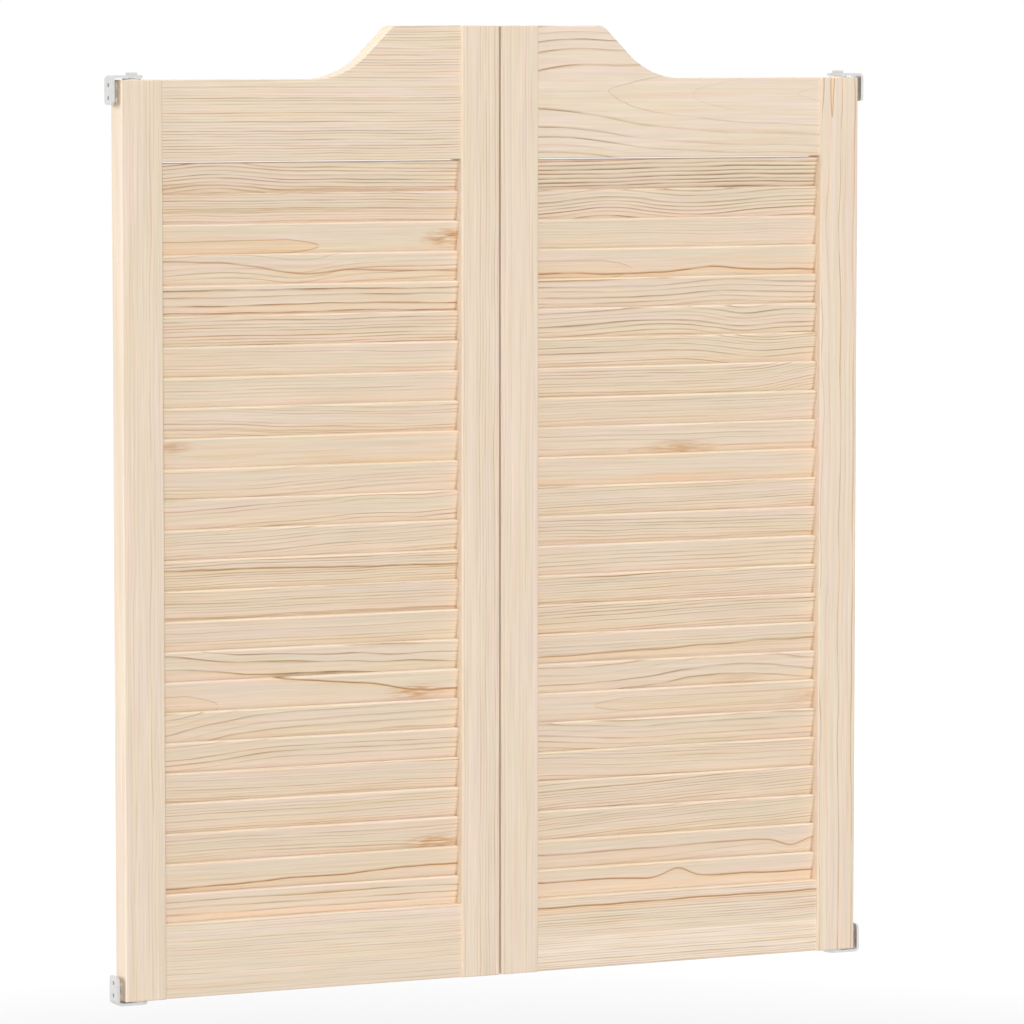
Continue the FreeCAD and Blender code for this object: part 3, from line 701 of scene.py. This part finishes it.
# Each leaf's boards
BOARDS = {
    "left_outer_stile": ("Z", Cut(
        seed=3.1, heart_across=150.0, ring=3.6, waves=5.0, contrast=0.42, warmth=0.2)),
    "left_meeting_stile": ("Z", Cut(seed=5.3, heart_across=-130.0, ring=3.4, contrast=0.55, warmth=0.2)),
    "right_meeting_stile": ("Z", Cut(seed=6.4, heart_across=140.0, ring=3.4, contrast=0.40, warmth=0.2)),
    "right_outer_stile": ("Z", Cut(
        seed=8.2, heart_across=-34.0, heart_depth=20.0, ring=4.5, waves=7.0, line=1.4, contrast=0.85,
        tongue=1.0, tongue_tip=458.0, tongue_across=-9.0, tongue_width=-2.5)),
    "left_top_rail": ("X", Cut(
        seed=9.7, heart_across=-210.0, ring=3.1, waves=2.0, line=1.3, contrast=0.85, rarity=0.8, ochre=0.1,
        warmth=0.35)),
    "right_top_rail": ("X", Cut(
        seed=12.9, heart_across=-4.0, heart_depth=36.3, dive=-0.05, ring=7.5, waves=3.0, ripple=0.08,
        line=2.8, contrast=1.0, rarity=0.5, fading=0.6, ochre=0.2, warmth=0.4,
        swell_at=-150.0, swell_rise=8.0, swell_reach=70.0)),
    "left_bottom_rail": ("X", Cut(
        seed=14.3, heart_across=190.0, ring=2.9, line=1.1, contrast=0.55, rarity=0.9, warmth=0.30)),
    "right_bottom_rail": ("X", Cut(
        seed=15.8, heart_across=-170.0, ring=2.8, waves=2.0, line=1.3, contrast=0.75, rarity=0.8,
        warmth=0.45, sap=0.9, sap_across=-4.0, streak=1.0, streak_across=30.0)),
    "left_dowels": ("X", Cut(seed=17.0, heart_across=0.0, ring=1.8)),
    "right_dowels": ("X", Cut(seed=18.0, heart_across=0.0, ring=1.8)),
}


def slat_cut(side, number):
    """The cut of one slat: its kind, varied a little by chance, and its own marks."""
    draw = random.Random(side + str(number))
    kind, marks = LOUVRES[side][number - 1]
    cut = SAWN[kind]
    varied = cut._replace(
        seed=draw.uniform(0.0, 90.0),
        heart_across=cut.heart_across * draw.choice((-1, 1)) * draw.uniform(0.8, 1.3),
        climb=draw.uniform(-0.015, 0.015),
        ring=cut.ring * draw.uniform(0.92, 1.08))
    return varied._replace(**marks)


# ---------------------------------------------------------------- metal and nylon

# How often a pattern changes for each millimetre
BRUSHED_ACROSS = 0.9
BRUSHED_ALONG = 0.06
CLOUDS = 0.15

ZINC_GREY = (0.74, 0.74, 0.73, 1.0)
STEEL_GREY = (0.32, 0.32, 0.33, 1.0)
NYLON_WHITE = (0.80, 0.79, 0.74, 1.0)

ZINC_PIECES = (
    "lower_bracket", "upper_bracket", "lower_spindle", "upper_pin",
    "spring_housing", "housing_cap", "housing_screws")
NYLON_PIECES = ("lower_bush", "upper_bush")


def worked_surface(name, colour, roughness, metallic):
    """Plain metal or plastic: a fine grain drawn out upright, over slow changes of tint."""
    material, graph, shader = new_material(name)
    place = graph.object_place()
    x, y, z = (graph.times(graph.dot(place, unit), MILLIMETRES) for unit in AXES.values())
    brushed = graph.vector(
        graph.times(x, BRUSHED_ACROSS), graph.times(y, BRUSHED_ACROSS), graph.times(z, BRUSHED_ALONG))
    grain = graph.noise(brushed, detail=3.0)
    clouds = graph.noise(graph.vector(*(graph.times(length, CLOUDS) for length in (x, y, z))))
    shade = graph.times(
        graph.span(clouds, 0.3, 0.7, to_low=0.94, to_high=1.04),
        graph.span(grain, 0.3, 0.7, to_low=0.975, to_high=1.02))
    graph.feed(shader.inputs["Base Color"], graph.shaded(colour, shade))
    graph.feed(
        shader.inputs["Roughness"],
        graph.span(grain, 0.3, 0.7, to_low=roughness - 0.06, to_high=roughness + 0.06))
    graph.feed(shader.inputs["Normal"], graph.relief(grain, strength=0.2, depth=0.00005))
    shader.inputs["Metallic"].default_value = metallic
    return material


def zinc_plated_steel():
    return worked_surface("zinc_plated_steel", ZINC_GREY, roughness=0.34, metallic=1.0)


def spring_steel():
    return worked_surface("spring_steel", STEEL_GREY, roughness=0.38, metallic=1.0)


def white_nylon():
    return worked_surface("white_nylon", NYLON_WHITE, roughness=0.42, metallic=0.0)


# ---------------------------------------------------------------- pieces

def smooth_curves_group():
    """Welds a piece's triangles and shades them smooth, except across its real edges."""
    tree = bpy.data.node_groups.new("smooth_curves", "GeometryNodeTree")
    tree.interface.new_socket("Geometry", in_out="INPUT", socket_type="NodeSocketGeometry")
    tree.interface.new_socket("Geometry", in_out="OUTPUT", socket_type="NodeSocketGeometry")
    graph = Graph(tree)
    source = graph.add("NodeGroupInput")
    result = graph.add("NodeGroupOutput")
    weld = graph.add("GeometryNodeMergeByDistance")
    graph.feed(weld.inputs["Geometry"], source.outputs["Geometry"])
    graph.feed(weld.inputs["Distance"], WELD_DISTANCE)
    angle = graph.add("GeometryNodeInputMeshEdgeAngle")
    gentle = graph.add("FunctionNodeCompare", data_type="FLOAT", operation="LESS_EQUAL")
    graph.feed(gentle.inputs[0], angle.outputs["Unsigned Angle"])
    graph.feed(gentle.inputs[1], SHARP_EDGE)
    faces = graph.add("GeometryNodeSetShadeSmooth", domain="FACE")
    graph.feed(faces.inputs["Geometry"], weld.outputs["Geometry"])
    edges = graph.add("GeometryNodeSetShadeSmooth", domain="EDGE")
    graph.feed(edges.inputs["Geometry"], faces.outputs["Geometry"])
    graph.feed(edges.inputs["Shade Smooth"], gentle.outputs["Result"])
    graph.feed(result.inputs["Geometry"], edges.outputs["Geometry"])
    return tree


def finish_in(piece, material):
    for slot in piece.material_slots:
        slot.material = material


def dress(node, material):
    """Gives a carried-over piece its finish, and rounds the shading of its curved faces."""
    piece = frame["nodes"][node]
    finish_in(piece, material)
    modifier = piece.modifiers.new("smooth_curves", "NODES")
    modifier.node_group = smooth_curves


def dress_louvres(side):
    for number in range(1, SLAT_COUNT, 2):
        node = f"{side}_louvre_slats_{number:02d}_{number + 1:02d}"
        dress(node, louvre_pine(node, side, slat_cut(side, number), slat_cut(side, number + 1)))
    last = f"{side}_louvre_slat_{SLAT_COUNT:02d}"
    cut = slat_cut(side, SLAT_COUNT)
    dress(last, louvre_pine(last, side, cut, cut))


def dress_boards():
    for node, (along_axis, cut) in BOARDS.items():
        dress(node, board(node, along_axis, cut))


def dress_hardware(side, zinc, nylon):
    for piece in ZINC_PIECES:
        dress(side + "_" + piece, zinc)
    for piece in NYLON_PIECES:
        dress(side + "_" + piece, nylon)


def welded_copy(node, name):
    """A copy of a carried-over piece, with its triangles joined and its curved faces smooth."""
    piece = bpy.data.objects.new(name, frame["nodes"][node].data.copy())
    bpy.context.scene.collection.objects.link(piece)
    bpy.ops.object.select_all(action="DESELECT")
    bpy.context.view_layer.objects.active = piece
    piece.select_set(True)
    bpy.ops.object.mode_set(mode="EDIT")
    bpy.ops.mesh.select_all(action="SELECT")
    bpy.ops.mesh.remove_doubles(threshold=WELD_DISTANCE)
    bpy.ops.object.mode_set(mode="OBJECT")
    bpy.ops.object.shade_smooth_by_angle(angle=SHARP_EDGE)
    return piece


def twisting_spring(side, material):
    """The torsion spring, whose foot sits on the jamb's spindle and whose head is in the leaf: a welded
    copy with smooth curved faces, in place of the carried-over piece, which is hidden.
    """
    node = side + "_torsion_spring"
    spring = welded_copy(node, side + "_twisting_spring")
    finish_in(spring, material)
    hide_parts(node)
    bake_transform(spring)


# ---------------------------------------------------------------- studio

def camera():
    data = bpy.data.cameras.new("camera")
    data.lens = CAMERA_LENS
    data.sensor_width = CAMERA_SENSOR
    data.clip_end = CAMERA_SIGHT
    eye = bpy.data.objects.new("camera", data)
    eye.location = CAMERA_PLACE
    eye.rotation_euler = (math.pi / 2 - CAMERA_DIP, 0.0, -CAMERA_TURN)
    bpy.context.scene.collection.objects.link(eye)
    bpy.context.scene.camera = eye


def seen_directly(graph):
    """1 where the camera, a reflection or a clear piece looks straight at the surface."""
    path = graph.add("ShaderNodeLightPath")
    either = graph.math("MAXIMUM", path.outputs["Is Camera Ray"], path.outputs["Is Glossy Ray"])
    return graph.math("MAXIMUM", either, path.outputs["Is Transmission Ray"])


def floor_paper():
    """Matt grey paper that the lamps light, with a light of its own where it's looked at."""
    material, graph, shader = new_material("studio_floor")
    shader.inputs["Base Color"].default_value = (FLOOR_GREY, FLOOR_GREY, FLOOR_GREY, 1.0)
    shader.inputs["Roughness"].default_value = FLOOR_ROUGHNESS
    shader.inputs["Specular IOR Level"].default_value = 0.0
    shader.inputs["Emission Color"].default_value = WHITE
    away = graph.add("ShaderNodeVectorMath", operation="LENGTH")
    graph.feed(away.inputs[0], graph.object_place())
    glow = graph.span(
        away.outputs["Value"], FLOOR_GLOW_START, FLOOR_GLOW_END,
        to_low=FLOOR_GLOW_NEAR, to_high=FLOOR_GLOW_FAR, curve="SMOOTHSTEP")
    graph.feed(shader.inputs["Emission Strength"], graph.times(seen_directly(graph), glow))
    return material


def floor():
    bpy.ops.object.select_all(action="DESELECT")
    bpy.ops.mesh.primitive_plane_add(size=FLOOR_SIZE, location=(0.0, 0.0, -FLOOR_DROP))
    ground = bpy.context.object
    ground.name = "studio_floor"
    ground.data.materials.append(floor_paper())


def world():
    """White where it's looked at, and a dimmer even light on everything."""
    sky = bpy.data.worlds.new("studio")
    bpy.context.scene.world = sky
    sky.use_nodes = True
    graph = Graph(sky.node_tree)
    background = sky.node_tree.nodes["Background"]
    background.inputs["Color"].default_value = WHITE
    strength = graph.span(seen_directly(graph), 0.0, 1.0, to_low=WORLD_LIGHT, to_high=1.0)
    graph.feed(background.inputs["Strength"], strength)


def lamp(name, turn, height, strength, spread):
    """A broad, even light from far off: turn to the right of straight ahead, and height, in degrees."""
    data = bpy.data.lights.new(name, "SUN")
    data.energy = strength * math.pi
    data.angle = math.radians(spread)
    light = bpy.data.objects.new(name, data)
    light.rotation_euler = (math.radians(90.0 - height), 0.0, math.radians(turn))
    light.visible_glossy = False
    bpy.context.scene.collection.objects.link(light)


def lamps():
    lamp("front_light", turn=-20.0, height=6.0, strength=0.615, spread=16.0)
    lamp("overhead_light", turn=0.0, height=80.0, strength=0.40, spread=20.0)
    lamp("left_light", turn=-96.0, height=15.0, strength=0.62, spread=40.0)
    lamp("rear_light", turn=145.0, height=15.0, strength=0.45, spread=45.0)


# ---------------------------------------------------------------- making

smooth_curves = smooth_curves_group()
pine = pine_group()

camera()
floor()
world()
lamps()

for side in SIDES:
    dress_louvres(side)
dress_boards()

zinc = zinc_plated_steel()
steel = spring_steel()
nylon = white_nylon()
for side in SIDES:
    dress_hardware(side, zinc, nylon)
    twisting_spring(side, steel)

bpy.context.scene.view_settings.view_transform = "Standard"
